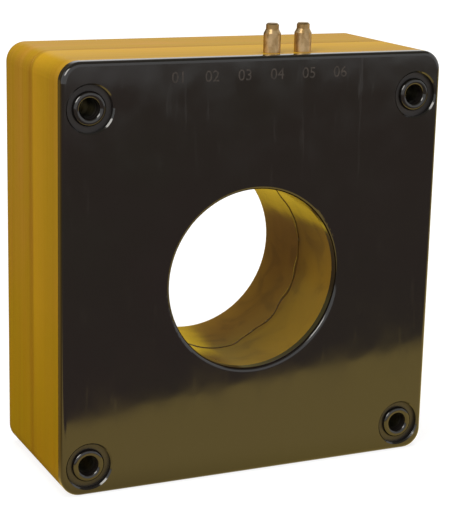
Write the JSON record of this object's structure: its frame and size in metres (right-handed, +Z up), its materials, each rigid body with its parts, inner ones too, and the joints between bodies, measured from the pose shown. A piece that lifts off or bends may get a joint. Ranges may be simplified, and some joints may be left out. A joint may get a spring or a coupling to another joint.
{
  "type": "window current transformer",
  "caption": "Square cased current transformer with a round window, a black cover, corner mounting holes and brass terminal studs.",
  "frame": {"origin": "middle of the case's footprint on the surface it stands on", "axes": "+Z up, -Y out of the black cover, +X to the right seen from the front"},
  "size_m": [0.1142, 0.0492, 0.1281],
  "materials": {
    "cover": "glossy black moulding",
    "tray": "smooth mustard yellow moulding",
    "sleeve": "zinc-plated tube",
    "stud": "turned brass, slightly tarnished",
    "pad": "resilient board",
    "tape": "woven tape",
    "wire": "enamelled copper",
    "insulation": "pressboard",
    "core": "wound silicon steel strip",
    "lead": "insulated lead"
  },
  "bodies": {
    "root": {"cover": "cover", "front_tray": "tray", "rear_tray": "tray", "sleeve_1": "sleeve", "sleeve_2": "sleeve", "sleeve_3": "sleeve", "sleeve_4": "sleeve", "stud_1": "stud", "stud_2": "stud", "pad_front": "pad", "pad_rear": "pad", "tape": "tape", "winding": "wire", "insulation_front": "insulation", "insulation_rear": "insulation", "insulation_inner": "insulation", "insulation_outer": "insulation", "core": "core", "lead_1": "lead", "lead_2": "lead"}
  },
  "joints": []
}
